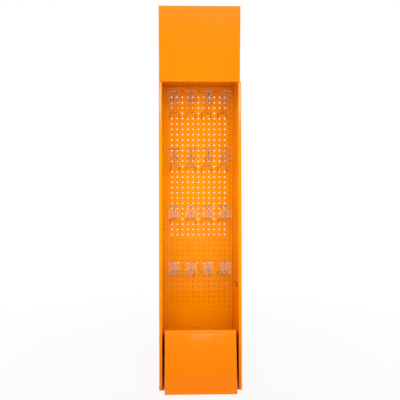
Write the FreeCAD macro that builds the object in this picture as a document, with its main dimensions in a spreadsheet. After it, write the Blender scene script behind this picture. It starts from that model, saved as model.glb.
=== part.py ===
import FreeCAD, Part
import os

import Sketcher

# Free-standing cardboard display stand, in millimetres. The front faces -Y, +Z is up, and the
# origin lies on the floor under the middle of the whole stand. Depths are measured forwards from
# the front face of the perforated panel, and rises are measured upwards from the floor.

SIZES = (
    ("stand_width", 350, "over the outsides of both side walls"),
    ("board", 3, "thickness of the corrugated board"),
    ("wall_hollow", 6.5, "gap between the two skins of a folded side wall"),
    ("fit", 0.3, "clearance where one piece slides past another"),
    ("foot_depth", 370, "side wall's front edge at the floor"),
    ("shoulder_depth", 268, "side wall's front edge at its top corner"),
    ("seat_rise", 1310.5, "level edge of the side walls that the header sits on"),
    ("shoulder_drop", 9.5, "side wall's top corner, under the header's seat"),
    ("cavity", 25, "space for the hook tails between the panel and the rear wall"),
    ("hole_pitch", 25, "peg hole spacing, both ways"),
    ("hole_size", 6, "peg hole, across"),
    ("hole_margin", 12, "least distance from a side wall to the middle of a hole"),
    ("top_hole_drop", 2.5, "uppermost row of peg holes, under the header's seat"),
    ("lowest_hole_rise", 150, "no row of holes is lower than this"),
    ("panel_tuck", 49.5, "perforated panel's top edge inside the header, above its seat"),
    ("row_count_above_window", 2, "rows of holes hidden by the rear wall above the window"),
    ("row_count_in_window", 27, "rows of holes that the rear window leaves open"),
    ("slot_rise", 421, "middle of the locking slot in the inner skin"),
    ("slot_height", 14, "locking slot"),
    ("slot_length", 141, "locking slot"),
    ("slot_depth", 155, "rear end of the locking slot"),
    ("eyelet_size", 8, "small locking hole in the inner skin, across"),
    ("eyelet_rise", 648, "middle of the small hole"),
    ("eyelet_depth", 114, "middle of the small hole"),
    ("header_lap", 2, "header's side, outside the side wall below it"),
    ("header_height", 322.5, "from its seat to its top"),
    ("header_foot_depth", 189, "header's front face at its lower edge"),
    ("header_top_depth", 204, "header's front face at its upper edge"),
    ("kick_gap", 11, "open gap between the base bin and each side wall"),
    ("kick_foot_depth", 417, "kick panel at the floor"),
    ("kick_brow_depth", 349, "kick panel under its folded brow"),
    ("kick_top_depth", 343, "kick panel's top edge"),
    ("kick_height", 250, "kick panel's top edge"),
    ("brow_height", 16, "folded brow along the kick panel's top"),
    ("bin_floor_rise", 100, "upper face of the bin's floor"),
    ("bin_rear_rise", 130, "bin's sides beside the perforated panel"),
    ("flap_rise", 270.5, "rear flap that stands behind the perforated panel"),
    ("wire", 4, "hook wire"),
    ("row_count_above_hooks", 5, "rows of holes above the top hooks' pegs"),
    ("row_count_below_hooks", 6, "rows of holes kept free below the lowest hooks"),
    ("row_count_per_hook", 10, "rows of holes from one row of hooks to the next"),
    ("column_count_beside_hooks", 1, "columns of holes left of the first hook's pegs"),
    ("column_count_per_hook", 3, "columns of holes from one hook to the next"),
    ("hook_reach", 225, "closed end of the two rails"),
    ("hook_climb", 31.5, "rise of the rails from panel to end"),
    ("hook_end_rise", 54, "top of the upturned end"),
    ("tail_rise", 15, "turned-up tail behind the panel"),
    ("bow_width", 48, "cross bow that rests on the panel"),
    ("bow_drop", 25, "legs of the cross bow"),
    ("tee_width", 44, "bar that carries the label holder"),
    ("tee_rise", 83, "bar that carries the label holder"),
    ("label_width", 50, "clear label holder"),
    ("label_height", 53, "clear label holder"),
    ("label_gauge", 1.5, "thickness of the clear sheet"),
    ("label_hem", 9.5, "short leg of the clear sheet behind the label bar"),
    ("label_lip", 8, "upturned lip at the label holder's lower edge"),
    ("label_pocket", 4.5, "gap for the price card, between the sheet and its lip"),
)

SLACK = "10"

REAR_FACE = "(sizes.cavity + sizes.board)"
REAR = "(sizes.cavity + 2 * sizes.board)"
MIDDLE = f"((sizes.kick_foot_depth - {REAR}) / 2)"
BAY_HALF = "(sizes.stand_width / 2 - 2 * sizes.board - sizes.wall_hollow)"
BAY_WIDTH = f"(2 * {BAY_HALF})"
COLUMNS = f"(floor(({BAY_WIDTH} - 2 * sizes.hole_margin) / sizes.hole_pitch) + 1)"
LEFT_HOLE = f"(-({COLUMNS} - 1) * sizes.hole_pitch / 2)"
TOP_HOLE = "(sizes.seat_rise - sizes.top_hole_drop)"
ROWS = f"(floor(({TOP_HOLE} - sizes.lowest_hole_rise) / sizes.hole_pitch) + 1)"
HALF_PITCH = "(sizes.hole_pitch / 2)"
ROWS_FOOT = f"({TOP_HOLE} - {ROWS} * sizes.hole_pitch + {HALF_PITCH})"
WINDOW_HALF = f"(({COLUMNS} - 2) * {HALF_PITCH})"
WINDOW_TOP = f"({TOP_HOLE} + {HALF_PITCH} - sizes.row_count_above_window * sizes.hole_pitch)"
WINDOW_FOOT = f"({WINDOW_TOP} - sizes.row_count_in_window * sizes.hole_pitch)"
SHOULDER_RISE = "(sizes.seat_rise - sizes.shoulder_drop)"
HEADER_WIDTH = "(sizes.stand_width + 2 * sizes.header_lap)"
HEADER_TOP = "(sizes.seat_rise + sizes.header_height)"
HEADER_HALF = f"({HEADER_WIDTH} / 2 - sizes.board)"
BIN_WIDTH = f"({BAY_WIDTH} - 2 * sizes.kick_gap)"
PANEL_BACK = "(sizes.board + sizes.fit)"
BROW_RISE = "(sizes.kick_height - sizes.brow_height)"
WIRE_HALF = "(sizes.wire / 2)"
WIRE_REST = f"({WIRE_HALF} + sizes.fit)"
WELD = "(0.8 * sizes.wire)"


def make_sheet(doc):
    """The driving sizes, one row each: name, value and what it measures."""
    sheet = doc.addObject("Spreadsheet::Sheet", "sizes")
    for row, (alias, value, note) in enumerate(SIZES, start=1):
        sheet.set(f"A{row}", alias)
        sheet.set(f"B{row}", str(value))
        sheet.set(f"C{row}", note)
        sheet.setAlias(f"B{row}", alias)
    doc.recompute()
    return sheet


def make_body(doc, label, across="0", rise="0"):
    """An empty body for one piece, set in the stand by its distance across and its rise."""
    body = doc.addObject("PartDesign::Body", label)
    body.Label = label
    body.setExpression("Placement.Base.x", across)
    body.setExpression("Placement.Base.y", MIDDLE)
    body.setExpression("Placement.Base.z", rise)
    return body


def origin_feature(body, role):
    return next(f for f in body.Origin.OriginFeatures if f.Role == role)


def make_sketch(body, name, role, offset=None):
    """A sketch on one of the body's own planes, or offset from it along its normal."""
    sketch = body.newObject("Sketcher::SketchObject", name)
    sketch.AttachmentSupport = [(origin_feature(body, role), "")]
    sketch.MapMode = "FlatFace"
    if offset is not None:
        sketch.setExpression("AttachmentOffset.Base.z", offset)
    return sketch


def place_point(sketch, geometry, end, place):
    """Hold one point of the sketch at two distances from the origin."""
    for kind, distance in zip(("DistanceX", "DistanceY"), place):
        index = sketch.addConstraint(Sketcher.Constraint(kind, -1, 1, geometry, end, 1.0))
        sketch.setExpression(f"Constraints[{index}]", distance)


def draw_path(sketch, places, closed=False):
    """Straight runs through places, which are pairs of expressions."""
    first = sketch.GeometryCount
    runs = len(places) if closed else len(places) - 1
    for i in range(runs):
        start = FreeCAD.Vector(i, i * i, 0)
        end = FreeCAD.Vector(i + 1, (i + 1) ** 2, 0)
        sketch.addGeometry(Part.LineSegment(start, end))
    for i in range(runs if closed else runs - 1):
        after = first + (i + 1) % runs
        sketch.addConstraint(Sketcher.Constraint("Coincident", first + i, 2, after, 1))
    for i in range(runs):
        place_point(sketch, first + i, 1, places[i])
    if not closed:
        place_point(sketch, first + runs - 1, 2, places[-1])


def draw_box(sketch, left, right, foot, top):
    corners = [(left, foot), (right, foot), (right, top), (left, top)]
    draw_path(sketch, corners, closed=True)


def draw_square(sketch, across, rise, half):
    draw_box(
        sketch,
        f"{across} - {half}",
        f"{across} + {half}",
        f"{rise} - {half}",
        f"{rise} + {half}",
    )


def extrude(body, kind, name, sketch, length, midplane=False, reverse=False):
    """A Pad or a Pocket of the sketch."""
    feature = body.newObject(f"PartDesign::{kind}", name)
    feature.Profile = sketch
    feature.Midplane = midplane
    feature.Reversed = reverse
    feature.setExpression("Length", length)
    sketch.Visibility = False
    return feature


def mirror_across(body, name, features):
    """The same features on the other side of the stand."""
    mirror = body.newObject("PartDesign::Mirrored", name)
    mirror.Originals = features
    mirror.MirrorPlane = (origin_feature(body, "YZ_Plane"), [""])
    body.Tip = mirror
    return mirror


# Outer shell

def shell_outline(body):
    sketch = make_sketch(body, "shell_outline", "YZ_Plane")
    places = [
        (REAR, "0"),
        ("-sizes.foot_depth", "0"),
        ("-sizes.shoulder_depth", SHOULDER_RISE),
        ("-sizes.header_foot_depth", "sizes.seat_rise"),
        (REAR, "sizes.seat_rise"),
    ]
    draw_path(sketch, places, closed=True)
    return sketch


def wall_hollow_outline(body):
    """Inside of a folded wall: a board inside the sloping front edge, and open above and below."""
    offset = f"{BAY_HALF} + sizes.board"
    sketch = make_sketch(body, "wall_hollow_outline", "YZ_Plane", offset)
    above = f"sizes.seat_rise + {SLACK}"
    places = [
        ("sizes.cavity + sizes.board", f"-{SLACK}"),
        ("-sizes.foot_depth + sizes.board", f"-{SLACK}"),
        ("-sizes.foot_depth + sizes.board", "0"),
        ("-sizes.shoulder_depth + sizes.board", SHOULDER_RISE),
        ("-sizes.shoulder_depth + sizes.board", above),
        ("sizes.cavity + sizes.board", above),
    ]
    draw_path(sketch, places, closed=True)
    return sketch


def make_outer_shell(doc):
    """One folded sheet: rear wall with a window, and double side walls that lean back."""
    body = make_body(doc, "outer_shell")
    extrude(body, "Pad", "shell_block", shell_outline(body), "sizes.stand_width", midplane=True)

    bay = make_sketch(body, "bay_outline", "YZ_Plane")
    front = f"-sizes.foot_depth - {SLACK}"
    draw_box(bay, front, REAR_FACE, f"-{SLACK}", f"sizes.seat_rise + {SLACK}")
    extrude(body, "Pocket", "bay", bay, BAY_WIDTH, midplane=True)

    hollow = wall_hollow_outline(body)
    cut = extrude(body, "Pocket", "right_hollow", hollow, "sizes.wall_hollow", reverse=True)
    mirror_across(body, "left_hollow", [cut])

    tongue = make_sketch(body, "tongue_outline", "XZ_Plane", f"-{REAR}")
    half = f"({HEADER_HALF} - sizes.fit)"
    top = f"{HEADER_TOP} - sizes.board - sizes.fit"
    draw_box(tongue, f"-{half}", half, "sizes.seat_rise", top)
    extrude(body, "Pad", "tongue", tongue, "sizes.board")

    window = make_sketch(body, "window_outline", "XZ_Plane", f"-{REAR_FACE}")
    draw_box(window, f"-{WINDOW_HALF}", WINDOW_HALF, WINDOW_FOOT, WINDOW_TOP)
    extrude(body, "Pocket", "window", window, "sizes.board")

    flap = make_sketch(body, "window_flap_outline", "YZ_Plane", WINDOW_HALF)
    draw_box(flap, PANEL_BACK, REAR_FACE, WINDOW_FOOT, WINDOW_TOP)
    right = extrude(body, "Pad", "right_window_flap", flap, "sizes.board")
    mirror_across(body, "left_window_flap", [right])

    slot = make_sketch(body, "slot_outline", "YZ_Plane")
    half_slot = "sizes.slot_height / 2"
    draw_box(
        slot,
        "-sizes.slot_depth - sizes.slot_length",
        "-sizes.slot_depth",
        f"sizes.slot_rise - {half_slot}",
        f"sizes.slot_rise + {half_slot}",
    )
    skins = f"2 * ({BAY_HALF} + sizes.board)"
    extrude(body, "Pocket", "locking_slots", slot, skins, midplane=True)

    eyelet = make_sketch(body, "eyelet_outline", "YZ_Plane")
    draw_square(eyelet, "-sizes.eyelet_depth", "sizes.eyelet_rise", "sizes.eyelet_size / 2")
    extrude(body, "Pocket", "eyelets", eyelet, skins, midplane=True)
    return body


# Perforated panel

def panel_edge():
    return f"({BAY_HALF} - sizes.fit)"


def row_outline(body, columns):
    """One row of peg holes in a strip as tall as the hole pitch."""
    sketch = make_sketch(body, "row_outline", "XZ_Plane")
    foot = f"{TOP_HOLE} - {HALF_PITCH}"
    draw_box(sketch, f"-{panel_edge()}", panel_edge(), foot, f"{TOP_HOLE} + {HALF_PITCH}")
    for column in range(columns):
        across = f"{LEFT_HOLE} + {column} * sizes.hole_pitch"
        draw_square(sketch, across, TOP_HOLE, "sizes.hole_size / 2")
    return sketch


def margin_outline(body, name, foot, top):
    """Plain board above or below the rows of holes."""
    sketch = make_sketch(body, name, "XZ_Plane")
    draw_box(sketch, f"-{panel_edge()}", panel_edge(), foot, top)
    return sketch


def make_perforated_panel(doc, columns):
    """Flat board with a grid of peg holes, which stands on the bin's floor behind its sides."""
    body = make_body(doc, "perforated_panel")
    row = extrude(body, "Pad", "hole_row", row_outline(body, columns), "sizes.board", reverse=True)
    row.Refine = False

    down = body.newObject("PartDesign::LinearPattern", "hole_rows")
    down.Originals = [row]
    down.Direction = (origin_feature(body, "Z_Axis"), [""])
    down.Reversed = True
    down.setExpression("Length", f"({ROWS} - 1) * sizes.hole_pitch")
    down.setExpression("Occurrences", ROWS)
    down.Refine = False
    body.Tip = down

    rows_top = f"{TOP_HOLE} + {HALF_PITCH}"
    panel_foot = "sizes.bin_floor_rise + sizes.fit"
    margins = (
        ("panel_top", rows_top, "sizes.seat_rise + sizes.panel_tuck"),
        ("panel_foot", panel_foot, ROWS_FOOT),
    )
    for name, foot, top in margins:
        outline = margin_outline(body, f"{name}_outline", foot, top)
        margin = extrude(body, "Pad", name, outline, "sizes.board", reverse=True)
        margin.Refine = False
    return body


# Header

def make_header(doc):
    """Folded box over the top of the stand, leaning forwards a little and open at the rear."""
    body = make_body(doc, "header")
    sketch = make_sketch(body, "header_outline", "YZ_Plane")
    places = [
        (REAR, "sizes.seat_rise"),
        ("-sizes.header_foot_depth", "sizes.seat_rise"),
        ("-sizes.header_top_depth", HEADER_TOP),
        (REAR, HEADER_TOP),
    ]
    draw_path(sketch, places, closed=True)
    extrude(body, "Pad", "header_block", sketch, HEADER_WIDTH, midplane=True)

    inside = make_sketch(body, "header_inside", "YZ_Plane")
    places = [
        (f"{REAR} + {SLACK}", "sizes.seat_rise + sizes.board"),
        ("-sizes.header_foot_depth + sizes.board", "sizes.seat_rise + sizes.board"),
        ("-sizes.header_top_depth + sizes.board", f"{HEADER_TOP} - sizes.board"),
        (f"{REAR} + {SLACK}", f"{HEADER_TOP} - sizes.board"),
    ]
    draw_path(inside, places, closed=True)
    between_sides = f"2 * {HEADER_HALF}"
    extrude(body, "Pocket", "header_hollow", inside, between_sides, midplane=True)

    passage = make_sketch(body, "rear_passage_outline", "YZ_Plane")
    foot = f"sizes.seat_rise - {SLACK}"
    top = "sizes.seat_rise + sizes.board"
    draw_box(passage, "-sizes.fit", f"{REAR} + {SLACK}", foot, top)
    extrude(body, "Pocket", "rear_passage", passage, between_sides, midplane=True)
    return body


# Base bin

def kick_face(rise):
    """Depth of the kick panel's straight face at a given rise, as an expression."""
    lean = "(sizes.kick_foot_depth - sizes.kick_brow_depth)"
    return f"(sizes.kick_foot_depth - {lean} * ({rise}) / {BROW_RISE})"


def make_base_bin(doc):
    """Folded bin: sloping kick panel with a brow, two sides, a raised floor and a rear flap."""
    body = make_body(doc, "base_bin")
    sketch = make_sketch(body, "bin_outline", "YZ_Plane")
    places = [
        ("-sizes.fit", "0"),
        ("-sizes.kick_foot_depth", "0"),
        ("-sizes.kick_brow_depth", BROW_RISE),
        ("-sizes.kick_top_depth", "sizes.kick_height"),
        ("-sizes.kick_top_depth + sizes.board", "sizes.kick_height"),
        ("-sizes.fit", "sizes.bin_rear_rise"),
    ]
    draw_path(sketch, places, closed=True)
    extrude(body, "Pad", "bin_block", sketch, BIN_WIDTH, midplane=True)

    inside = make_sketch(body, "bin_inside", "YZ_Plane")
    places = [
        (SLACK, "sizes.bin_floor_rise"),
        (f"-{kick_face('sizes.bin_floor_rise')} + sizes.board", "sizes.bin_floor_rise"),
        ("-sizes.kick_brow_depth + sizes.board", BROW_RISE),
        ("-sizes.kick_top_depth + sizes.board", "sizes.kick_height"),
        ("-sizes.kick_top_depth + sizes.board", f"sizes.kick_height + {SLACK}"),
        (SLACK, f"sizes.kick_height + {SLACK}"),
    ]
    draw_path(inside, places, closed=True)
    between_sides = f"{BIN_WIDTH} - 2 * sizes.board"
    extrude(body, "Pocket", "bin_hollow", inside, between_sides, midplane=True)

    under = make_sketch(body, "under_floor", "YZ_Plane")
    under_rise = "sizes.bin_floor_rise - sizes.board"
    places = [
        (SLACK, f"-{SLACK}"),
        ("-sizes.kick_foot_depth + sizes.board", f"-{SLACK}"),
        ("-sizes.kick_foot_depth + sizes.board", "0"),
        (f"-{kick_face(under_rise)} + sizes.board", under_rise),
        (SLACK, under_rise),
    ]
    draw_path(under, places, closed=True)
    extrude(body, "Pocket", "foot_hollow", under, between_sides, midplane=True)

    flap = make_sketch(body, "rear_flap_outline", "YZ_Plane")
    places = [
        ("-sizes.fit", under_rise),
        (f"{PANEL_BACK} + sizes.board", under_rise),
        (f"{PANEL_BACK} + sizes.board", "sizes.flap_rise"),
        (PANEL_BACK, "sizes.flap_rise"),
        (PANEL_BACK, "sizes.bin_floor_rise"),
        ("-sizes.fit", "sizes.bin_floor_rise"),
    ]
    draw_path(flap, places, closed=True)
    extrude(body, "Pad", "rear_flap", flap, f"2 * {WINDOW_HALF}", midplane=True)
    return body


# Hooks and label holders

def hook_place(row, column):
    """Where a hook's peg row meets the panel: across, midway between its two pegs, and rise."""
    pegs = f"(sizes.column_count_beside_hooks + {column} * sizes.column_count_per_hook)"
    across = f"{LEFT_HOLE} + {pegs} * sizes.hole_pitch + {HALF_PITCH}"
    rows_above = f"(sizes.row_count_above_hooks + {row} * sizes.row_count_per_hook)"
    rise = f"{TOP_HOLE} - {rows_above} * sizes.hole_pitch"
    return across, rise


def sweep_wire(body, name, path, profile):
    """Square-cut wire with mitred bends along a flat path."""
    pipe = body.newObject("PartDesign::AdditivePipe", name)
    pipe.Profile = profile
    pipe.Spine = path
    pipe.Transition = "Right corner"
    path.Visibility = False
    profile.Visibility = False
    return pipe


def make_rail(body):
    """Tail behind the panel, peg through its hole, climbing rail and upturned end."""
    path = make_sketch(body, "rail_path", "YZ_Plane", HALF_PITCH)
    tail = f"(sizes.board + {WIRE_REST})"
    places = [
        (tail, "sizes.tail_rise"),
        (tail, "0"),
        (f"-{WIRE_REST}", "0"),
        ("-sizes.hook_reach", "sizes.hook_climb"),
        ("-sizes.hook_reach", f"sizes.hook_end_rise - {WIRE_HALF}"),
    ]
    draw_path(path, places)
    profile = make_sketch(body, "rail_profile", "XY_Plane", "sizes.tail_rise")
    draw_square(profile, HALF_PITCH, tail, WIRE_HALF)
    return sweep_wire(body, "right_rail", path, profile)


def make_stem(body):
    """Middle wire from the cross bow to the label bar, welded behind the end bar."""
    depth = f"(sizes.hook_reach - {WELD})"
    path = make_sketch(body, "stem_path", "YZ_Plane")
    places = [
        (f"-{WIRE_REST}", "0"),
        (f"-{depth}", "sizes.hook_climb"),
        (f"-{depth}", "sizes.tee_rise"),
    ]
    draw_path(path, places)
    profile = make_sketch(body, "stem_profile", "XZ_Plane", WIRE_REST)
    draw_square(profile, "0", "0", WIRE_HALF)
    return sweep_wire(body, "stem", path, profile)


def make_cross_bar(body, name, width, depth, rise):
    """Straight wire from side to side."""
    sketch = make_sketch(body, f"{name}_outline", "YZ_Plane")
    draw_square(sketch, f"-{depth}", rise, WIRE_HALF)
    return extrude(body, "Pad", name, sketch, width, midplane=True)


def make_bow(body):
    """Inverted U that rests on the panel's face and keeps the hook level."""
    half = f"(sizes.bow_width / 2 - {WIRE_HALF})"
    foot = "(-sizes.bow_drop)"
    path = make_sketch(body, "bow_path", "XZ_Plane", WIRE_REST)
    draw_path(path, [(f"-{half}", foot), (f"-{half}", "0"), (half, "0"), (half, foot)])
    profile = make_sketch(body, "bow_profile", "XY_Plane", foot)
    draw_square(profile, f"-{half}", f"-{WIRE_REST}", WIRE_HALF)
    return sweep_wire(body, "bow", path, profile)


def make_hook(doc, label, place):
    """Welded wire hook: two rails with a closed end, a cross bow and a label bar on a stem."""
    body = make_body(doc, label, *place)
    right = make_rail(body)
    mirror_across(body, "left_rail", [right])
    end_width = f"sizes.hole_pitch + sizes.wire"
    end_rise = f"(sizes.hook_end_rise - {WIRE_HALF})"
    make_cross_bar(body, "end_bar", end_width, "sizes.hook_reach", end_rise)
    make_bow(body)
    make_stem(body)
    tee_depth = f"(sizes.hook_reach - {WELD})"
    make_cross_bar(body, "label_bar", "sizes.tee_width", tee_depth, "sizes.tee_rise")
    return body


def make_label_holder(doc, label, place):
    """Clear sheet that hooks over the label bar, hangs in front and turns up at its foot."""
    body = make_body(doc, label, *place)
    sketch = make_sketch(body, "holder_outline", "YZ_Plane")
    back = f"(-sizes.hook_reach + {WELD} + {WIRE_REST})"
    face = f"(-sizes.hook_reach - {WIRE_REST})"
    under = f"(sizes.tee_rise + {WIRE_REST})"
    top = f"({under} + sizes.label_gauge)"
    foot = f"({top} - sizes.label_height)"
    gauge = "sizes.label_gauge"
    lip = f"({face} - sizes.label_pocket)"
    hem = f"({top} - sizes.label_hem)"
    places = [
        (back, hem),
        (f"{back} + {gauge}", hem),
        (f"{back} + {gauge}", top),
        (f"{face} - {gauge}", top),
        (f"{face} - {gauge}", f"{foot} + {gauge}"),
        (lip, f"{foot} + {gauge}"),
        (lip, f"{foot} + sizes.label_lip"),
        (f"{lip} - {gauge}", f"{foot} + sizes.label_lip"),
        (f"{lip} - {gauge}", foot),
        (face, foot),
        (face, under),
        (back, under),
    ]
    draw_path(sketch, places, closed=True)
    extrude(body, "Pad", "holder_sheet", sketch, "sizes.label_width", midplane=True)
    return body


def make_clone(doc, source, label, place):
    """The same piece again, at another place."""
    body = make_body(doc, label, *place)
    base = body.newObject("PartDesign::FeatureBase", "copy")
    base.BaseFeature = source
    body.Tip = base
    return body


def count_places(sheet):
    """Columns of holes, rows of hooks and hooks in a row that the sizes leave room for."""
    skins = 2 * (2 * sheet.board + sheet.wall_hollow)
    bay = sheet.stand_width - skins
    columns = int((bay - 2 * sheet.hole_margin) / sheet.hole_pitch) + 1
    drop = sheet.seat_rise - sheet.top_hole_drop - sheet.lowest_hole_rise
    rows = int(drop / sheet.hole_pitch) + 1
    spare_rows = rows - 1 - sheet.row_count_above_hooks - sheet.row_count_below_hooks
    hook_rows = int(spare_rows / sheet.row_count_per_hook) + 1
    spare_columns = columns - 2 - sheet.column_count_beside_hooks
    hooks_across = int(spare_columns / sheet.column_count_per_hook) + 1
    return columns, hook_rows, hooks_across


def make_hooks(doc, hook_rows, hooks_across):
    """A hook and its label holder at each place of the grid."""
    pieces = []
    for row in range(hook_rows):
        for column in range(hooks_across):
            place = hook_place(row, column)
            names = [f"{kind}_{row + 1}_{column + 1}" for kind in ("hook", "label_holder")]
            if not pieces:
                pieces.append(make_hook(doc, names[0], place))
                pieces.append(make_label_holder(doc, names[1], place))
                hook, holder = pieces
            else:
                pieces.append(make_clone(doc, hook, names[0], place))
                pieces.append(make_clone(doc, holder, names[1], place))
    return pieces


# Checking and writing

def check_states(doc):
    for item in doc.Objects:
        if "Invalid" in item.State or "Error" in item.State:
            raise RuntimeError(f"{item.Name} is {item.State}")


def check_cuts(doc):
    """Each pocket takes something away."""
    for item in doc.Objects:
        if item.TypeId == "PartDesign::Pocket":
            if item.Shape.Volume >= item.BaseFeature.Shape.Volume:
                raise RuntimeError(f"{item.Name} cuts nothing")


def check_solid(body):
    shape = body.Shape
    if shape.isNull() or not shape.isValid() or len(shape.Solids) != 1:
        raise RuntimeError(f"{body.Label} isn't one valid solid")


def main():
    doc = FreeCAD.newDocument("display_stand")
    columns, hook_rows, hooks_across = count_places(make_sheet(doc))
    pieces = [make_outer_shell(doc), make_header(doc), make_base_bin(doc)]
    pieces += make_hooks(doc, hook_rows, hooks_across)
    pieces.append(make_perforated_panel(doc, columns))
    doc.recompute()
    check_states(doc)
    check_cuts(doc)
    for body in pieces:
        check_solid(body)
    os.makedirs("parts", exist_ok=True)
    for body in pieces:
        body.Shape.exportStep(f"parts/{body.Label}.step")


main()
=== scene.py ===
# Free-standing cardboard display stand: folded board, perforated panel, wire hooks, label holders.
# The front faces -Y, +Z is up and lengths are in metres.

import math

import bmesh
import bpy
from bpy.props import FloatProperty, FloatVectorProperty, IntProperty, PointerProperty
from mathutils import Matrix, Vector


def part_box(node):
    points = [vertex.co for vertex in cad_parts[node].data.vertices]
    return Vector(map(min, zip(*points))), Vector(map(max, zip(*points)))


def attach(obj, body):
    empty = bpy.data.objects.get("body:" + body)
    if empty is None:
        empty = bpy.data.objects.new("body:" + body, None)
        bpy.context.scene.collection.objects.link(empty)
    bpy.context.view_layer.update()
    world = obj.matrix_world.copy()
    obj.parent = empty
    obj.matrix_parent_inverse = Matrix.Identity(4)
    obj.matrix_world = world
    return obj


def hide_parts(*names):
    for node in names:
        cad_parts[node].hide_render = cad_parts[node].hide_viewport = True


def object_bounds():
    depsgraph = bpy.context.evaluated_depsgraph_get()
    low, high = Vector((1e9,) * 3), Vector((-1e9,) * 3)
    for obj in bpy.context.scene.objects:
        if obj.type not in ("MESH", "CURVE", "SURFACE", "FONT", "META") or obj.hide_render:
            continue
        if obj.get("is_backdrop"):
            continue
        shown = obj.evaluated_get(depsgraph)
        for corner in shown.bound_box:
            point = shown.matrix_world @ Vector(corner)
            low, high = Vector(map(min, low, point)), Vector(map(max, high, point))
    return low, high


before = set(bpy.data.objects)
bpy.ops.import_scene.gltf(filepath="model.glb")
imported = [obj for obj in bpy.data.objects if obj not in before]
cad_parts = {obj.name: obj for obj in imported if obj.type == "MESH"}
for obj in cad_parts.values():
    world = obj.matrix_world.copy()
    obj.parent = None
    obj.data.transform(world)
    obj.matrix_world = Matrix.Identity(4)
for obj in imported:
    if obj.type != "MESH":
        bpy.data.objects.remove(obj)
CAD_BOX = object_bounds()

bl_info = {
    "name": "Cardboard Display Stand",
    "version": (1, 0, 0),
    "blender": (4, 5, 0),
    "location": "View3D > Sidebar > Display Stand",
    "description": "Builds a cardboard display stand with a perforated panel and wire hooks",
    "category": "Object",
}

BODY = "root"
MM = 0.001
WELD_GAP = 0.005 * MM
SEAT_GAP = 0.3 * MM
SENSOR_WIDTH = 36.0

# Faces are joined up to the first angle, rounded from the second and shaded as an edge past the third
FLAT_ANGLE, FOLD_ANGLE, SHARP_ANGLE = math.radians(1), math.radians(3), math.radians(40)

# Steps across a rounded fold and a bend, and sides of a peg hole and of a round wire
FOLD_STEPS, BEND_STEPS, HOLE_SIDES, WIRE_SIDES = 3, 6, 16, 12

# Order of a board's materials: printed side, cut edge, and unprinted side or painted shade
PRINTED, CUT, BACK_OR_SHADE = range(3)

# A face looks along an axis where its normal's share of that axis is over this
FACING = 0.5

# Noise values lie mostly between these two
NOISE_LOW, NOISE_HIGH = 0.3, 0.7

# Set-back of the label bar's stem behind the closed end of the rails, in wire diameters
STEM_SET_BACK = 0.8


# Places taken from the frame

def nodes_called(start):
    """Names of the nodes that begin with start, in order."""
    return sorted(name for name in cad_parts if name.startswith(start))


def place_of(name):
    """Middle of a hook across the stand, and its lower edge."""
    low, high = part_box(name)
    return (low.x + high.x) / 2, low.z


PANEL_LOW, PANEL_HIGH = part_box("perforated_panel")
SHELL_LOW, SHELL_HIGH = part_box("outer_shell")
HEADER_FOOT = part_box("header")[0].z
HOOK_NODES = nodes_called("hook_")
LABEL_NODES = nodes_called("label_holder_")
HOOK_PLACES = [place_of(name) for name in HOOK_NODES]
HOOK_LEFT, HOOK_RIGHT = min(x for x, z in HOOK_PLACES), max(x for x, z in HOOK_PLACES)
HOOK_LOWEST, HOOK_TOPMOST = min(z for x, z in HOOK_PLACES), max(z for x, z in HOOK_PLACES)


# Sizes and colours

def length(name, description, default):
    """A length setting, in metres."""
    return FloatProperty(
        name=name, description=description, default=default, min=0.0, unit="LENGTH", precision=4
    )


def colour(name, description, default):
    """A colour setting, linear and without alpha."""
    return FloatVectorProperty(
        name=name, description=description, default=default, size=3, min=0.0, max=1.0, subtype="COLOR"
    )


class BoardSettings(bpy.types.PropertyGroup):
    board: length("Board", "Thickness of the corrugated board", 3 * MM)
    fold_radius: length("Fold Radius", "Rounding of a printed fold", 1.1 * MM)
    cut_radius: length("Cut Radius", "Rounding of a cut edge", 0.15 * MM)
    flute_pitch: length("Flute Pitch", "Distance between two flutes", 6.2 * MM)
    print_colour: colour("Print", "Printed face at the header", (0.93, 0.285, 0.0))
    # Painted shade: the darker, redder print at the floor stands in for the low parts getting less light
    shaded_foot_colour: colour("Foot Print", "Printed face at the floor", (0.95, 0.22, 0.0))
    # Painted light: the panel's print is lighter than the shell's, standing in for light the recessed
    # panel does not get
    lit_panel_colour: colour("Panel Print", "Printed face of the perforated panel", (0.95, 0.37, 0.0))
    kraft_colour: colour("Kraft", "Raw board in a cut edge", (0.26, 0.14, 0.06))
    liner_colour: colour("Liner", "Unprinted back of the board", (0.30, 0.17, 0.07))
    # Painted shade: near-black on the hidden faces behind the panel and inside the double side walls
    # stands in for the shade there
    shade_colour: colour("Rear Liner", "Dark liner behind the peg holes", (0.03, 0.01, 0.003))


class PanelSettings(bpy.types.PropertyGroup):
    hole_pitch: length("Hole Pitch", "Peg hole spacing, both ways", 25 * MM)
    hole_size: length("Hole Size", "Peg hole diameter", 6 * MM)
    columns: IntProperty(name="Columns", description="Peg holes in a row", default=13, min=1)
    rows: IntProperty(name="Rows", description="Rows of peg holes", default=47, min=1)
    top_row: length("Top Row", "Uppermost row of peg holes below the header's seat", 2.5 * MM)


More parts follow.
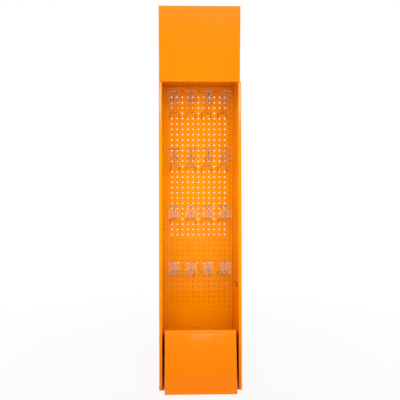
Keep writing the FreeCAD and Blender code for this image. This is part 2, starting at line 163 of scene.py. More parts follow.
class HookSettings(bpy.types.PropertyGroup):
    wire: length("Wire", "Hook wire diameter", 4 * MM)
    bend: length("Bend", "Radius of the wire's middle line in a bend", 5 * MM)
    reach: length("Reach", "Closed end of the rails in front of the panel", 225 * MM)
    climb: length("Climb", "Rise of the rails from panel to end", 31.5 * MM)
    end_rise: length("End Rise", "Top of the upturned end", 54 * MM)
    tail_rise: length("Tail Rise", "Turned-up tail behind the panel", 15 * MM)
    bow_width: length("Bow Width", "Cross bow that rests on the panel", 48 * MM)
    bow_drop: length("Bow Drop", "Legs of the cross bow", 25 * MM)
    tee_width: length("Label Bar", "Bar that carries the label holder", 44 * MM)
    tee_rise: length("Label Bar Rise", "Bar's height above the pegs", 83 * MM)
    across: IntProperty(name="Across", description="Hooks in a row", default=4, min=1)
    rows: IntProperty(name="Rows", description="Rows of hooks", default=4, min=1)
    # Partly painted reflection: the wire's warm tan tint stands in for the orange board mirrored in the
    # wire
    metal_and_reflection_colour: colour("Wire", "Bright plated wire", (0.68, 0.52, 0.34))


class LabelSettings(bpy.types.PropertyGroup):
    width: length("Width", "Clear label holder", 50 * MM)
    height: length("Height", "Clear label holder", 53 * MM)
    gauge: length("Gauge", "Thickness of the clear sheet", 1.5 * MM)
    hem: length("Hem", "Short leg behind the label bar", 9.5 * MM)
    lip: length("Lip", "Upturned lip at the lower edge", 8 * MM)
    pocket: length("Pocket", "Gap between the sheet and its lip", 4.5 * MM)
    bend: length("Bend", "Radius of a bend in the sheet", 1.6 * MM)
    tint: colour("Tint", "Clear plastic", (0.95, 0.95, 0.95))


class StageSettings(bpy.types.PropertyGroup):
    camera_place: FloatVectorProperty(
        name="Camera", description="Where the camera stands", size=3,
        default=(-0.074, -2.6468, 1.0327), subtype="TRANSLATION", unit="LENGTH",
    )
    camera_tilt: FloatProperty(
        name="Tilt", description="How far the camera looks down",
        default=math.radians(4.12), subtype="ANGLE", unit="ROTATION",
    )
    camera_turn: FloatProperty(
        name="Turn", description="How far the camera looks to the right",
        default=math.radians(1.646), subtype="ANGLE", unit="ROTATION",
    )
    lens: FloatProperty(name="Lens", description="Focal length in millimetres", default=54.0)
    camera_shift: FloatProperty(
        name="Shift", description="Vertical shift that frames the stand", default=-0.0285
    )
    floor_size: length("Floor Size", "Side of the square floor", 14.0)
    backdrop_colour: colour("Backdrop", "Floor and backdrop", (1.0, 1.0, 1.0))


# Node trees

def add_node(tree, kind, values=None, links=None, **settings):
    """One node with its settings, fixed values and incoming links, by socket name or number."""
    node = tree.nodes.new(kind)
    for name, value in settings.items():
        setattr(node, name, value)
    for socket, value in (values or {}).items():
        node.inputs[socket].default_value = value
    for socket, source in (links or {}).items():
        tree.links.new(source, node.inputs[socket])
    return node


def feed(tree, socket, value):
    """Link a socket to another one, or set its value."""
    if isinstance(value, bpy.types.NodeSocket):
        tree.links.new(value, socket)
    else:
        socket.default_value = value


def calculate(tree, operation, first, second=0.0):
    """Output of a Math node; each operand is a socket or a number."""
    node = add_node(tree, "ShaderNodeMath", operation=operation)
    feed(tree, node.inputs[0], first)
    feed(tree, node.inputs[1], second)
    return node.outputs[0]


def combine(tree, x=0.0, y=0.0, z=0.0):
    """Vector from three sockets or numbers."""
    node = add_node(tree, "ShaderNodeCombineXYZ")
    for socket, part in zip(node.inputs, (x, y, z)):
        feed(tree, socket, part)
    return node.outputs[0]


def split(tree, vector):
    """The X, Y and Z sockets of a vector."""
    return add_node(tree, "ShaderNodeSeparateXYZ", links={"Vector": vector}).outputs


def mix_values(tree, factor, first, second):
    """Value from first to second; each is a socket or a number."""
    node = add_node(tree, "ShaderNodeMix", links={0: factor})
    feed(tree, node.inputs[2], first)
    feed(tree, node.inputs[3], second)
    return node.outputs[0]


SOCKET_KINDS = {
    float: "NodeSocketFloat",
    int: "NodeSocketInt",
    Vector: "NodeSocketVector",
    bpy.types.Material: "NodeSocketMaterial",
}


def start_tree(name, inputs):
    """A geometry tree with a named input for each value."""
    tree = bpy.data.node_groups.new(name, "GeometryNodeTree")
    tree.interface.new_socket("Geometry", in_out="INPUT", socket_type="NodeSocketGeometry")
    for label, value in inputs.items():
        tree.interface.new_socket(label, in_out="INPUT", socket_type=SOCKET_KINDS[type(value)])
    tree.interface.new_socket("Geometry", in_out="OUTPUT", socket_type="NodeSocketGeometry")
    return tree, tree.nodes.new("NodeGroupInput").outputs


def end_tree(tree, geometry, material):
    """Close the tree with real geometry and its material."""
    real = add_node(tree, "GeometryNodeRealizeInstances", links={"Geometry": geometry})
    painted = add_node(
        tree, "GeometryNodeSetMaterial", links={"Geometry": real.outputs[0], "Material": material}
    )
    tree.links.new(painted.outputs[0], tree.nodes.new("NodeGroupOutput").inputs[0])


def join(tree, *parts):
    """All parts as one geometry."""
    node = tree.nodes.new("GeometryNodeJoinGeometry")
    for part in parts:
        tree.links.new(part, node.inputs[0])
    return node.outputs[0]


def merge(tree, geometry):
    """The geometry with its coinciding points welded."""
    node = add_node(
        tree, "GeometryNodeMergeByDistance", values={"Distance": WELD_GAP}, links={"Geometry": geometry}
    )
    return node.outputs[0]


def thicken(tree, sheet, thickness):
    """Closed wall from an open sheet, thickened towards the side that its faces point to."""
    raised = add_node(
        tree, "GeometryNodeExtrudeMesh", values={"Individual": False},
        links={"Mesh": sheet, "Offset Scale": thickness}, mode="FACES",
    )
    back = add_node(tree, "GeometryNodeFlipFaces", links={"Mesh": sheet})
    return merge(tree, join(tree, raised.outputs["Mesh"], back.outputs[0]))


def stand_up(tree, geometry, place):
    """Turn a flat sheet upright, to face the front, with its middle at place."""
    upright = add_node(
        tree, "GeometryNodeTransform", values={"Rotation": (math.pi / 2, 0.0, 0.0)},
        links={"Geometry": geometry, "Translation": place},
    )
    return upright.outputs[0]


# Objects

def add_object(name, data):
    """A new object in the scene."""
    piece = bpy.data.objects.new(name, data)
    bpy.context.scene.collection.objects.link(piece)
    return piece


def grow(skeleton, name, tree, inputs):
    """Run a geometry tree on a skeleton mesh and keep the result as a plain mesh object."""
    carrier = add_object(f"{name}_skeleton", skeleton)
    modifier = carrier.modifiers.new("grow", "NODES")
    modifier.node_group = tree
    for item in tree.interface.items_tree:
        if item.in_out == "INPUT" and item.name in inputs:
            modifier[item.identifier] = inputs[item.name]
    seen = carrier.evaluated_get(bpy.context.evaluated_depsgraph_get())
    mesh = bpy.data.meshes.new_from_object(seen)
    mesh.name = name
    carrier.modifiers.remove(modifier)
    bpy.data.objects.remove(carrier)
    return add_object(name, mesh)


def finish_piece(piece, nodes):
    """Hand a finished piece over to the frame."""
    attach(piece, BODY)
    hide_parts(*nodes)


def smooth_by_angle(mesh):
    """Smooth shading that keeps sharp edges sharp."""
    mesh.shade_smooth()
    mesh.set_sharp_from_angle(angle=SHARP_ANGLE)


def smooth_bends(mesh, largest):
    """Smooth the narrow faces of the bends, and keep the flat ones flat."""
    smooth_by_angle(mesh)
    for face in mesh.polygons:
        face.use_smooth = face.area < largest


# Materials

def start_material(name):
    """An empty node material with its shader and object coordinates."""
    material = bpy.data.materials.new(name)
    material.use_nodes = True
    tree = material.node_tree
    shader = tree.nodes["Principled BSDF"]
    where = tree.nodes.new("ShaderNodeTexCoord").outputs["Object"]
    return material, tree, shader, where


def noise(tree, where, scale, detail=3.0):
    """Noise that changes about every 1 / scale metres."""
    node = add_node(
        tree, "ShaderNodeTexNoise", values={"Scale": scale, "Detail": detail}, links={"Vector": where}
    )
    return node.outputs["Fac"]


def remap(tree, value, low, high, start=0.0, end=1.0):
    """The range from low to high stretched to the one from start to end, and held there."""
    node = add_node(
        tree, "ShaderNodeMapRange",
        values={"From Min": low, "From Max": high, "To Min": start, "To Max": end},
        links={"Value": value},
    )
    return node.outputs[0]


def patches(tree, where, scale, detail=3.0, start=0.0, end=1.0):
    """Noise as soft patches that range from start to end."""
    return remap(tree, noise(tree, where, scale, detail), NOISE_LOW, NOISE_HIGH, start, end)


def blend_colours(tree, factor, first, second):
    """Colour from first to second; each is a socket or three numbers."""
    node = add_node(tree, "ShaderNodeMix", links={"Factor": factor}, data_type="RGBA")
    for socket, shade in ((node.inputs[6], first), (node.inputs[7], second)):
        feed(tree, socket, shade if isinstance(shade, bpy.types.NodeSocket) else (*shade, 1.0))
    return node.outputs[2]


def add_bump(tree, shader, height, distance, strength=1.0):
    """Relief of the surface, one distance high where the height is 1."""
    bump = add_node(
        tree, "ShaderNodeBump", values={"Distance": distance, "Strength": strength},
        links={"Height": height},
    )
    tree.links.new(bump.outputs[0], shader.inputs["Normal"])


def wave(tree, along, pitch):
    """Sine from -1 to 1 that repeats at every pitch along a length."""
    return calculate(tree, "SINE", calculate(tree, "MULTIPLY", along, 2 * math.pi / pitch))


def flute_wave(tree, where, pitch):
    """Gentle ribs that run up the board, on every upright face."""
    parts = split(tree, where)
    return wave(tree, calculate(tree, "ADD", parts["X"], parts["Y"]), pitch)


def tone(shade, factor):
    """A lighter or darker shade of a colour."""
    return tuple(min(1.0, part * factor) for part in shade)


def print_with_painted_light(settings, name, low, high):
    """Glossy printed liner over faint flutes, coloured from low at the floor to high at the header: a
    painted shade that darkens the print towards the floor.
    """
    material, tree, shader, where = start_material(name)
    # Painted shade: the colour darkens from the header down to the floor, where less light falls
    shade = blend_colours(tree, remap(tree, split(tree, where)["Z"], 0.0, HEADER_FOOT), low, high)
    clouds = patches(tree, where, 9.0, end=0.06)
    tree.links.new(blend_colours(tree, clouds, shade, tone(high, 0.7)), shader.inputs["Base Color"])
    sheen = patches(tree, where, 55.0, detail=5.0, start=0.10, end=0.14)
    tree.links.new(sheen, shader.inputs["Roughness"])
    shader.inputs["Specular IOR Level"].default_value = 0.13
    ribs = calculate(tree, "MULTIPLY", flute_wave(tree, where, settings.flute_pitch), 0.5)
    fibre = calculate(tree, "MULTIPLY", noise(tree, where, 600.0), 0.3)
    add_bump(tree, shader, calculate(tree, "ADD", ribs, fibre), 0.01 * MM, 0.5)
    return material


def cut_board(settings):
    """Raw cut edge of corrugated board, with painted shade in the hollows between its flutes."""
    material, tree, shader, where = start_material("cut_board_edge")
    parts = split(tree, where)
    flat = calculate(tree, "ADD", parts["X"], parts["Y"])
    along = calculate(tree, "ADD", flat, parts["Z"])
    gaps = remap(tree, wave(tree, along, settings.flute_pitch), -0.2, 0.5)
    shade = tuple(settings.kraft_colour)
    # Painted shade: the hollows between the flutes are coloured darker, where shade falls
    flute_painted_shade = blend_colours(tree, gaps, tone(shade, 0.35), tone(shade, 1.1))
    fibres = patches(tree, where, 700.0, end=0.5)
    tree.links.new(blend_colours(tree, fibres, flute_painted_shade, tone(shade, 1.3)), shader.inputs["Base Color"])
    shader.inputs["Roughness"].default_value = 0.85
    add_bump(tree, shader, gaps, 0.4 * MM)
    return material


def liner_or_painted_shade(settings, name, shade):
    """Unprinted side of the board, or near-black painted shade: matt paper with stripes of painted shade
    along the flutes, and fibres.
    """
    material, tree, shader, where = start_material(name)
    # Painted shade: lighter and darker stripes along the flutes stand in for light and shade on their
    # ribs
    ribs = remap(tree, flute_wave(tree, where, settings.flute_pitch), -1.0, 1.0, 0.0, 0.35)
    rib_painted_shade = blend_colours(tree, ribs, tone(shade, 1.05), tone(shade, 0.85))
    fibres = remap(tree, noise(tree, where, 350.0, 5.0), 0.35, 0.65, 0.0, 0.4)
    tree.links.new(blend_colours(tree, fibres, rib_painted_shade, tone(shade, 1.25)), shader.inputs["Base Color"])
    shader.inputs["Roughness"].default_value = 0.8
    add_bump(tree, shader, noise(tree, where, 700.0), 0.05 * MM)
    return material


def plated_wire(settings):
    """Bright plated steel with fine drawing marks, tinted warm tan as a painted reflection of the orange
    board.
    """
    material, tree, shader, where = start_material("plated_wire")
    shade = tuple(settings.metal_and_reflection_colour)
    clouds = patches(tree, where, 160.0, detail=4.0)
    plating_with_reflection = blend_colours(tree, clouds, tone(shade, 0.88), tone(shade, 1.08))
    tree.links.new(plating_with_reflection, shader.inputs["Base Color"])
    shader.inputs["Metallic"].default_value = 1.0
    tree.links.new(patches(tree, where, 300.0, start=0.14, end=0.26), shader.inputs["Roughness"])
    add_bump(tree, shader, noise(tree, where, 1400.0), 0.01 * MM, 0.4)
    return material


def clear_plastic(settings):
    """Clear sheet with fine scratches that dull its gloss here and there."""
    material, tree, shader, where = start_material("clear_plastic")
    shade = tuple(settings.tint)
    tinted = blend_colours(tree, patches(tree, where, 60.0), shade, tone(shade, 1.04))
    tree.links.new(tinted, shader.inputs["Base Color"])
    scratches = patches(tree, where, 260.0, detail=5.0, start=0.02, end=0.06)
    tree.links.new(scratches, shader.inputs["Roughness"])
    shader.inputs["Transmission Weight"].default_value = 1.0
    shader.inputs["IOR"].default_value = 1.49
    return material


# Folded board

def lies_inside(face, board):
    """Whether a face of the shell lies behind the panel or in the gap of a double side wall, where it
    gets painted shade.
    """
    middle = face.calc_center_median()
    if face.normal.y < -FACING and middle.y > PANEL_HIGH.y:
        return True
    faces_in = face.normal.x * middle.x < 0.0
    outer_skin = abs(middle.x) > SHELL_HIGH.x - 2 * board
    return abs(face.normal.x) > FACING and faces_in == outer_skin


def board_side(face, board, in_painted_shade):
    """Cut faces are one board wide; the others are printed, or take the unprinted or painted-shade slot
    where in_painted_shade says so.
    """
    tolerance = 0.2 * MM
    longest = max(edge.calc_length() for edge in face.edges)
    if longest > 2 * board and abs(face.calc_area() / longest - board) < tolerance:
        return CUT
    return BACK_OR_SHADE if in_painted_shade and in_painted_shade(face, board) else PRINTED


def weigh_edges(bm, cut_weight):
    """A fold is rounded in full, a cut edge by a share of that, and a flat seam not at all."""
    weight = bm.edges.layers.float.new("bevel_weight_edge")
    for edge in bm.edges:
        if len(edge.link_faces) == 2 and edge.calc_face_angle(0.0) >= FOLD_ANGLE:
            cut = any(face.material_index == CUT for face in edge.link_faces)
            edge[weight] = cut_weight if cut else 1.0


def fold_board(node, settings, materials, in_painted_shade=None):
    """A folded piece: the solid's own faces, with rounded folds and raw cut edges."""
    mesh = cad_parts[node].data.copy()
    mesh.name = f"{node}_board"
    bm = bmesh.new()
    bm.from_mesh(mesh)
    bmesh.ops.remove_doubles(bm, verts=bm.verts, dist=WELD_GAP)
    bmesh.ops.dissolve_limit(bm, angle_limit=FLAT_ANGLE, verts=bm.verts, edges=bm.edges)
    for face in bm.faces:
        face.material_index = board_side(face, settings.board, in_painted_shade)
    weigh_edges(bm, settings.cut_radius / settings.fold_radius)
    bm.to_mesh(mesh)
    bm.free()
    mesh.materials.clear()
    for material in materials:
        mesh.materials.append(material)
    piece = add_object(f"{node}_board", mesh)
    bevel = piece.modifiers.new("folds", "BEVEL")
    bevel.limit_method = "WEIGHT"
    bevel.width = settings.fold_radius
    bevel.segments = FOLD_STEPS
    bevel.use_clamp_overlap = False
    bevel.miter_outer = "MITER_ARC"
    finish_piece(piece, [node])


def board_materials(settings):
    """Materials of the folded pieces, in the order of PRINTED, CUT and BACK_OR_SHADE: print with painted
    shade towards the floor, raw cut edge, and near-black painted shade.
    """
    foot, head = tuple(settings.shaded_foot_colour), tuple(settings.print_colour)
    return [
        print_with_painted_light(settings, "shell_print_painted_shade", foot, head),
        cut_board(settings),
        # Painted shade for the hidden faces behind the panel and between the side walls
        liner_or_painted_shade(settings, "painted_shade_inside", tuple(settings.shade_colour)),
    ]


# Perforated panel

def panel_tree(inputs):
    """Peg-hole cells on a grid, plain margins above and below, all one board thick."""
    tree, given = start_tree("perforated_panel", inputs)
    pitch, columns, rows = given["Hole Pitch"], given["Columns"], given["Rows"]
    square = add_node(
        tree, "GeometryNodeCurvePrimitiveQuadrilateral", links={"Width": pitch, "Height": pitch}
    )
    hole = add_node(
        tree, "GeometryNodeCurvePrimitiveCircle", values={"Resolution": HOLE_SIDES},
        links={"Radius": calculate(tree, "DIVIDE", given["Hole Size"], 2.0)},
    )
    cell = add_node(
        tree, "GeometryNodeFillCurve", mode="TRIANGLES",
        links={"Curve": join(tree, square.outputs[0], hole.outputs[0])},
    )
    wide = calculate(tree, "MULTIPLY", columns, pitch)
    high = calculate(tree, "MULTIPLY", rows, pitch)
    grid = add_node(
        tree, "GeometryNodeMeshGrid",
        links={
            "Size X": calculate(tree, "SUBTRACT", wide, pitch),
            "Size Y": calculate(tree, "SUBTRACT", high, pitch),
            "Vertices X": columns,
            "Vertices Y": rows,
        },
    )
    cells = add_node(
        tree, "GeometryNodeInstanceOnPoints",
        links={"Points": grid.outputs[0], "Instance": cell.outputs[0]},
    )
    real = add_node(tree, "GeometryNodeRealizeInstances", links={"Geometry": cells.outputs[0]})
    parts = [real.outputs[0]]
    for side, margin in ((1.0, given["Top Margin"]), (-1.0, given["Foot Margin"])):
        strip = add_node(
            tree, "GeometryNodeMeshGrid", values={"Vertices Y": 2},
            links={"Size X": wide, "Size Y": margin, "Vertices X": calculate(tree, "ADD", columns, 1.0)},
        )
        middle = calculate(tree, "MULTIPLY", calculate(tree, "ADD", high, margin), side / 2)
        moved = add_node(
            tree, "GeometryNodeTransform",
            links={"Geometry": strip.outputs[0], "Translation": combine(tree, y=middle)},
        )
        parts.append(moved.outputs[0])
    sheet = merge(tree, join(tree, *parts))
    spot = split(tree, tree.nodes.new("GeometryNodeInputPosition").outputs[0])
    right = given["Half Width"]
    left = calculate(tree, "MULTIPLY", right, -1.0)
    trimmed = calculate(tree, "MAXIMUM", calculate(tree, "MINIMUM", spot["X"], right), left)
    trim = add_node(
        tree, "GeometryNodeSetPosition",
        links={"Geometry": sheet, "Position": combine(tree, trimmed, spot["Y"], spot["Z"])},
    )
    upright = stand_up(tree, trim.outputs[0], given["Rear Middle"])
    end_tree(tree, thicken(tree, upright, given["Board"]), given["Material"])
    return tree


def perforate_panel(settings, materials):
    """The perforated panel, at the place of its node."""
    top_row = HEADER_FOOT - settings.top_row
    rows_top = top_row + settings.hole_pitch / 2
    rows_foot = rows_top - settings.rows * settings.hole_pitch
    inputs = {
        "Hole Pitch": settings.hole_pitch,
        "Hole Size": settings.hole_size,
        "Columns": settings.columns,
        "Rows": settings.rows,
        "Top Margin": PANEL_HIGH.z - rows_top,
        "Foot Margin": rows_foot - PANEL_LOW.z,
        "Half Width": PANEL_HIGH.x,
        "Board": PANEL_HIGH.y - PANEL_LOW.y,
        "Rear Middle": Vector((0.0, PANEL_HIGH.y, (rows_top + rows_foot) / 2)),
        "Material": materials[0],
    }
    piece = grow(bpy.data.meshes.new("panel_start"), "perforated_board", panel_tree(inputs), inputs)
    for material in materials[1:]:
        piece.data.materials.append(material)
    for face in piece.data.polygons:
        if abs(face.normal.y) < FACING:
            face.material_index = CUT
        elif face.normal.y > 0.0:
            face.material_index = BACK_OR_SHADE
    finish_piece(piece, ["perforated_panel"])


# Wire hooks

def polylines(name, lines):
    """A mesh of loose edges, one chain for each line of points."""
    points, edges = [], []
    for line in lines:
        first = len(points)
        points += line
        edges += [(first + i, first + i + 1) for i in range(len(line) - 1)]
    mesh = bpy.data.meshes.new(name)
    mesh.from_pydata(points, edges, [])
    return mesh


def wire_seat(hooks):
    """Distance from a wire's middle line to what the wire rests against or carries."""
    return hooks.wire / 2 + SEAT_GAP


def stem_depth(hooks):
    """Distance from the panel's face to the stem of the label bar."""
    return hooks.reach - STEM_SET_BACK * hooks.wire


def hook_skeleton(settings, pitch, board):
    """Middle line of each wire, from the panel's face and the height of the pegs."""
    rest = wire_seat(settings)
    half = pitch / 2
    end = settings.reach
    end_rise = settings.end_rise - settings.wire / 2
    side = [
        (half, board + rest, settings.tail_rise),
        (half, board + rest, 0.0),
        (half, -rest, 0.0),
        (half, -end, settings.climb),
        (half, -end, end_rise),
    ]
    rails = side + [(-x, y, z) for x, y, z in reversed(side)]
    bow_half = settings.bow_width / 2 - settings.wire / 2
    bow = [(-bow_half, -rest, -settings.bow_drop), (-bow_half, -rest, 0.0)]
    bow += [(-x, y, z) for x, y, z in reversed(bow)]
    stem_y = -stem_depth(settings)
    stem = [(0.0, -rest, 0.0), (0.0, stem_y, settings.climb), (0.0, stem_y, settings.tee_rise)]
    tee_half = settings.tee_width / 2
    tee = [(-tee_half, stem_y, settings.tee_rise), (tee_half, stem_y, settings.tee_rise)]
    return polylines("hook_lines", [rails, bow, stem, tee])


def place_grid_inputs(settings, low_rise):
    """Where the hooks are: their number, spacing and the middle of their grid."""
    return {
        "Across": settings.across,
        "Rows": settings.rows,
        "Span": HOOK_RIGHT - HOOK_LEFT,
        "Rise": HOOK_TOPMOST - HOOK_LOWEST,
        "Middle": Vector((
            (HOOK_LEFT + HOOK_RIGHT) / 2, PANEL_LOW.y, (HOOK_TOPMOST + HOOK_LOWEST) / 2 + low_rise
        )),
    }


def repeat_on_grid(tree, given, geometry):
    """The same piece at each place of an upright grid."""
    grid = add_node(
        tree, "GeometryNodeMeshGrid",
        links={
            "Size X": given["Span"], "Size Y": given["Rise"],
            "Vertices X": given["Across"], "Vertices Y": given["Rows"],
        },
    )
    upright = stand_up(tree, grid.outputs[0], given["Middle"])
    placed = add_node(
        tree, "GeometryNodeInstanceOnPoints", links={"Points": upright, "Instance": geometry}
    )
    return placed.outputs[0]


def rounded_curve(tree, given):
    """The skeleton's lines as curves with rounded bends."""
    curve = add_node(tree, "GeometryNodeMeshToCurve", links={"Mesh": given["Geometry"]})
    rounded = add_node(
        tree, "GeometryNodeFilletCurve", values={"Limit Radius": True, "Count": BEND_STEPS},
        links={"Curve": curve.outputs[0], "Radius": given["Bend"]}, mode="POLY",
    )
    return rounded.outputs[0]


def hook_tree(inputs):
    """Round wires along the skeleton's lines, one hook at each place."""
    tree, given = start_tree("wire_hooks", inputs)
    section = add_node(
        tree, "GeometryNodeCurvePrimitiveCircle", values={"Resolution": WIRE_SIDES},
        links={"Radius": calculate(tree, "DIVIDE", given["Wire"], 2.0)},
    )
    wires = add_node(
        tree, "GeometryNodeCurveToMesh", values={"Fill Caps": True},
        links={"Curve": rounded_curve(tree, given), "Profile Curve": section.outputs[0]},
    )
    end_tree(tree, repeat_on_grid(tree, given, wires.outputs[0]), given["Material"])
    return tree


def bend_hooks(settings, panel, board, material):
    """All wire hooks, at the places of their nodes."""
    inputs = place_grid_inputs(settings, settings.bow_drop)
    inputs.update({"Wire": settings.wire, "Bend": settings.bend, "Material": material})
    skeleton = hook_skeleton(settings, panel.hole_pitch, board.board)
    piece = grow(skeleton, "hook_wires", hook_tree(inputs), inputs)
    smooth_by_angle(piece.data)
    finish_piece(piece, HOOK_NODES)


# Label holders

def label_skeleton(labels, hooks):
    """Middle line of the clear sheet: over the label bar, down in front and up in a lip."""
    rest = wire_seat(hooks)
    half_gauge = labels.gauge / 2
    back = -stem_depth(hooks) + rest + half_gauge
    face = -hooks.reach - rest - half_gauge
    top = hooks.tee_rise + rest + half_gauge
    foot = top + labels.gauge - labels.height
    lip = face - labels.pocket
    places = [
        (back, top + half_gauge - labels.hem),
        (back, top),
        (face, top),
        (face, foot),
        (lip, foot),
        (lip, foot - half_gauge + labels.lip),
    ]
    return polylines("label_line", [[(-labels.width / 2, y, z) for y, z in places]])


def label_tree(inputs):
    """A bent clear sheet along the skeleton's line, one at each place."""
    tree, given = start_tree("label_holders", inputs)
    line = add_node(tree, "GeometryNodeCurveToMesh", links={"Curve": rounded_curve(tree, given)})
    ribbon = add_node(
        tree, "GeometryNodeExtrudeMesh", mode="EDGES", values={"Offset Scale": 1.0},
        links={"Mesh": line.outputs[0], "Offset": combine(tree, x=given["Width"])},
    )
    inset = add_node(
        tree, "ShaderNodeVectorMath", operation="SCALE",
        links={
            0: tree.nodes.new("GeometryNodeInputNormal").outputs[0],
            "Scale": calculate(tree, "DIVIDE", given["Gauge"], -2.0),
        },
    )
    centred = add_node(
        tree, "GeometryNodeSetPosition",
        links={"Geometry": ribbon.outputs["Mesh"], "Offset": inset.outputs[0]},
    )
    sheet = thicken(tree, centred.outputs[0], given["Gauge"])
    end_tree(tree, repeat_on_grid(tree, given, sheet), given["Material"])
    return tree


def hang_labels(labels, hooks, material):
    """All label holders, at the places of their nodes."""
    inputs = place_grid_inputs(hooks, hooks.bow_drop)
    inputs.update({
        "Bend": labels.bend, "Gauge": labels.gauge, "Width": labels.width, "Material": material,
    })
    piece = grow(label_skeleton(labels, hooks), "label_sheets", label_tree(inputs), inputs)
    smooth_bends(piece.data, labels.bend * labels.width)
    piece.visible_shadow = False
    finish_piece(piece, LABEL_NODES)


# Stage

# Name, degrees to the right, degrees up, width in degrees and power of each wide soft lamp
DISTANT_LAMPS = (
    ("front_fill", 0.0, 3.0, 40.0, 0.34),
    ("high_fill", 0.0, 30.0, 30.0, 0.58),
    ("left_key", -22.0, 15.0, 25.0, 0.42),
    ("right_key", 22.0, 15.0, 25.0, 0.42),
    ("left_side", -62.0, 2.0, 25.0, 0.9),
    ("right_side", 62.0, 2.0, 25.0, 0.9),
    ("rear_left", -150.0, 20.0, 40.0, 1.3),
    ("rear_right", 150.0, 20.0, 40.0, 1.3),
)

# Place, target, width and height, and power of the two softboxes
BAY_FILL = ((0.0, -0.35, 0.78), (0.0, 0.0, 0.68), (0.2, 0.7), 1.3)
EDGE_GLOSS = ((0.55, -12.0, 4.05), (0.0, 0.0, 1.0), (2.7, 0.9), 215.0)

# The floor's glow at the stand, and the distances between which it rises to full white
NEAR_GLOW, GLOW_START, GLOW_END = 0.88, 0.5, 1.6
FOOTPRINT_BLUR = 5 * MM

# The backdrop's strength on surfaces and where it is mirrored from in front, and the share of +Y
# in a direction from which it is mirrored in full
AMBIENT, FRONT_IMAGE, FULL_IMAGE = 0.12, 0.2, 0.5


def mirror_rays(tree, path):
    """1 for rays that metal and gloss mirror, and for those that pass through clear plastic."""
    return calculate(tree, "MAXIMUM", path.outputs["Is Glossy Ray"], path.outputs["Is Transmission Ray"])


def outside_footprint(tree, where):
    """0 under the shell and 1 outside it."""
    parts = split(tree, where)
    middle, half = (SHELL_HIGH + SHELL_LOW) / 2, (SHELL_HIGH - SHELL_LOW) / 2
    past = []
    for axis, centre, limit in (("X", middle.x, half.x), ("Y", middle.y, half.y)):
        away = calculate(tree, "ABSOLUTE", calculate(tree, "SUBTRACT", parts[axis], centre))
        past.append(remap(tree, away, limit - FOOTPRINT_BLUR, limit + FOOTPRINT_BLUR))
    return calculate(tree, "MAXIMUM", *past)


def floor_material(settings):
    """Pale floor that renders white and still takes a soft shadow."""
    material, tree, shader, where = start_material("studio_floor")
    shade = (*settings.backdrop_colour, 1.0)
    tree.links.new(patches(tree, where, 3.0, start=0.55, end=0.65), shader.inputs["Roughness"])
    shader.inputs["Base Color"].default_value = shade
    glow = add_node(tree, "ShaderNodeEmission", values={"Color": shade, "Strength": 1.0})
    path = tree.nodes.new("ShaderNodeLightPath")
    seen = calculate(tree, "MAXIMUM", path.outputs["Is Camera Ray"], mirror_rays(tree, path))
    far = add_node(tree, "ShaderNodeVectorMath", operation="LENGTH", links={0: where})
    white = remap(tree, far.outputs["Value"], GLOW_START, GLOW_END, NEAR_GLOW, 1.0)
    glowing = calculate(tree, "MULTIPLY", seen, white)
    share = calculate(tree, "MULTIPLY", glowing, outside_footprint(tree, where))
    mix = add_node(
        tree, "ShaderNodeMixShader", links={0: share, 1: shader.outputs[0], 2: glow.outputs[0]}
    )
    output = next(node for node in tree.nodes if node.type == "OUTPUT_MATERIAL")
    tree.links.new(mix.outputs[0], output.inputs["Surface"])
    return material


def make_floor(settings):
    """A square floor around the stand."""
    half = settings.floor_size / 2
    mesh = bpy.data.meshes.new("studio_floor")
    corners = [(-half, -half, 0.0), (half, -half, 0.0), (half, half, 0.0), (-half, half, 0.0)]
    mesh.from_pydata(corners, [], [(0, 1, 2, 3)])
    mesh.materials.append(floor_material(settings))
    add_object("studio_floor", mesh)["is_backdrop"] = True


def light_world(settings):
    """Full white for the camera, dim on surfaces, and dimmer in front where it is mirrored."""
    world = bpy.data.worlds.new("studio")
    world.use_nodes = True
    tree = world.node_tree
    background = tree.nodes["Background"]
    background.inputs["Color"].default_value = (*settings.backdrop_colour, 1.0)
    path = tree.nodes.new("ShaderNodeLightPath")
    back = split(tree, tree.nodes.new("ShaderNodeTexCoord").outputs["Generated"])["Y"]
    mirrored = remap(tree, back, 0.0, FULL_IMAGE, FRONT_IMAGE, 1.0)
    lit = mix_values(tree, mirror_rays(tree, path), AMBIENT, mirrored)
    strength = mix_values(tree, path.outputs["Is Camera Ray"], lit, 1.0)
    tree.links.new(strength, background.inputs["Strength"])
    bpy.context.scene.world = world


def add_softbox(name, place, target, size, power):
    """A rectangular lamp at place, aimed at target."""
    lamp = bpy.data.lights.new(name, "AREA")
    lamp.shape = "RECTANGLE"
    lamp.size, lamp.size_y = size
    lamp.energy = power
    holder = add_object(name, lamp)
    holder.location = place
    holder.rotation_euler = (Vector(target) - Vector(place)).to_track_quat("-Z", "Y").to_euler()
    holder.visible_camera = False
    return holder


def no_glare(holder):
    """Keep a lamp's image off glossy surfaces and out of clear plastic."""
    holder.visible_glossy = False
    holder.visible_transmission = False


def add_fill(name, place, target, size, power):
    """A softbox that lights the board and leaves no glare on it."""
    no_glare(add_softbox(name, place, target, size, power))


def add_gloss_lamp(name, place, target, size, power):
    """A softbox far away that only glossy surfaces show."""
    holder = add_softbox(name, place, target, size, power)
    holder.visible_diffuse = False
    holder.visible_transmission = False


def add_distant_lamp(name, turn, height, spread, power):
    """A wide soft lamp far in front: degrees to the right, degrees up, and its width in degrees."""
    lamp = bpy.data.lights.new(name, "SUN")
    lamp.energy = power
    lamp.angle = math.radians(spread)
    holder = add_object(name, lamp)
    holder.rotation_euler = (math.radians(90.0 - height), 0.0, math.radians(turn))
    no_glare(holder)


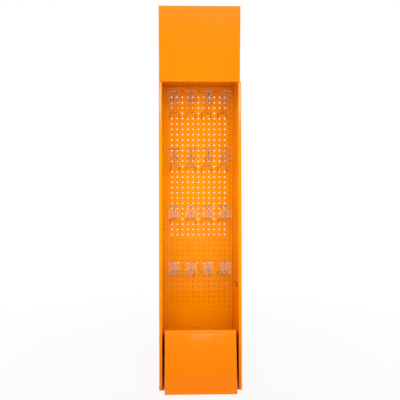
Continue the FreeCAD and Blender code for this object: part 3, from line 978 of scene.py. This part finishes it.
def set_camera(settings):
    """The camera that took the photo, as fitted to the grid of peg holes."""
    lens = bpy.data.cameras.new("camera")
    lens.lens = settings.lens
    lens.sensor_width = SENSOR_WIDTH
    lens.shift_y = settings.camera_shift
    camera = add_object("camera", lens)
    camera.location = settings.camera_place
    camera.rotation_euler = (math.pi / 2 - settings.camera_tilt, 0.0, -settings.camera_turn)
    bpy.context.scene.camera = camera


# Operators

class BuildFoldedBoard(bpy.types.Operator):
    """Fold the outer shell, the header and the base bin from printed board"""

    bl_idname = "display_stand.fold_board"
    bl_label = "Fold Board Pieces"

    def execute(self, context):
        settings = context.scene.stand_board
        materials = board_materials(settings)
        fold_board("outer_shell", settings, materials, lies_inside)
        fold_board("header", settings, materials)
        fold_board("base_bin", settings, materials)
        return {"FINISHED"}


class BuildPerforatedPanel(bpy.types.Operator):
    """Punch the peg holes of the back panel"""

    bl_idname = "display_stand.perforate_panel"
    bl_label = "Perforate Panel"

    def execute(self, context):
        scene = context.scene
        settings = scene.stand_board
        # Painted light: the panel gets a lighter copy of the print, as if more light reached it
        panel_print_and_light = tuple(settings.lit_panel_colour)
        materials = [
            print_with_painted_light(settings, "panel_print_painted_light", panel_print_and_light, panel_print_and_light),
            bpy.data.materials["cut_board_edge"],
            liner_or_painted_shade(settings, "panel_liner", tuple(settings.liner_colour)),
        ]
        perforate_panel(scene.stand_panel, materials)
        return {"FINISHED"}


class BuildHooks(bpy.types.Operator):
    """Bend the wire hooks and hang them in their holes"""

    bl_idname = "display_stand.bend_hooks"
    bl_label = "Bend Wire Hooks"

    def execute(self, context):
        scene = context.scene
        metal = plated_wire(scene.stand_hooks)
        bend_hooks(scene.stand_hooks, scene.stand_panel, scene.stand_board, metal)
        return {"FINISHED"}


class BuildLabelHolders(bpy.types.Operator):
    """Hang a clear label holder on each hook"""

    bl_idname = "display_stand.hang_labels"
    bl_label = "Hang Label Holders"

    def execute(self, context):
        scene = context.scene
        hang_labels(scene.stand_labels, scene.stand_hooks, clear_plastic(scene.stand_labels))
        return {"FINISHED"}


class BuildStage(bpy.types.Operator):
    """Set up the white floor, the soft lamps and the camera"""

    bl_idname = "display_stand.set_stage"
    bl_label = "Set Stage"

    def execute(self, context):
        settings = context.scene.stand_stage
        make_floor(settings)
        light_world(settings)
        for name, turn, height, spread, power in DISTANT_LAMPS:
            add_distant_lamp(name, turn, height, spread, power)
        add_fill("bay_fill", *BAY_FILL)
        add_gloss_lamp("edge_gloss", *EDGE_GLOSS)
        set_camera(settings)
        context.scene.view_settings.view_transform = "Standard"
        return {"FINISHED"}


class StandPanel(bpy.types.Panel):
    """Settings and steps of the display stand"""

    bl_idname = "VIEW3D_PT_display_stand"
    bl_label = "Display Stand"
    bl_space_type = "VIEW_3D"
    bl_region_type = "UI"
    bl_category = "Display Stand"

    def draw(self, context):
        layout = self.layout
        for group in SETTINGS:
            settings = getattr(context.scene, group)
            box = layout.box()
            for name in settings.bl_rna.properties.keys():
                if name not in ("rna_type", "name"):
                    box.prop(settings, name)
        for operator in STEPS:
            layout.operator(operator.bl_idname)


SETTINGS = {
    "stand_board": BoardSettings,
    "stand_panel": PanelSettings,
    "stand_hooks": HookSettings,
    "stand_labels": LabelSettings,
    "stand_stage": StageSettings,
}
STEPS = (BuildFoldedBoard, BuildPerforatedPanel, BuildHooks, BuildLabelHolders, BuildStage)
CLASSES = (*SETTINGS.values(), *STEPS, StandPanel)


def register():
    """Add the settings and the steps to Blender."""
    for kind in CLASSES:
        bpy.utils.register_class(kind)
    for name, kind in SETTINGS.items():
        setattr(bpy.types.Scene, name, PointerProperty(type=kind))


def unregister():
    """Take the settings and the steps out of Blender again."""
    for name in SETTINGS:
        delattr(bpy.types.Scene, name)
    for kind in reversed(CLASSES):
        bpy.utils.unregister_class(kind)


def main():
    """Build the stand step by step."""
    register()
    bpy.ops.display_stand.fold_board()
    bpy.ops.display_stand.perforate_panel()
    bpy.ops.display_stand.bend_hooks()
    bpy.ops.display_stand.hang_labels()
    bpy.ops.display_stand.set_stage()
    boxes = {"cad": CAD_BOX, "visual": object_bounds()}
    {name: [list(corner) for corner in box] for name, box in boxes.items()}


if __name__ == "__main__":
    main()
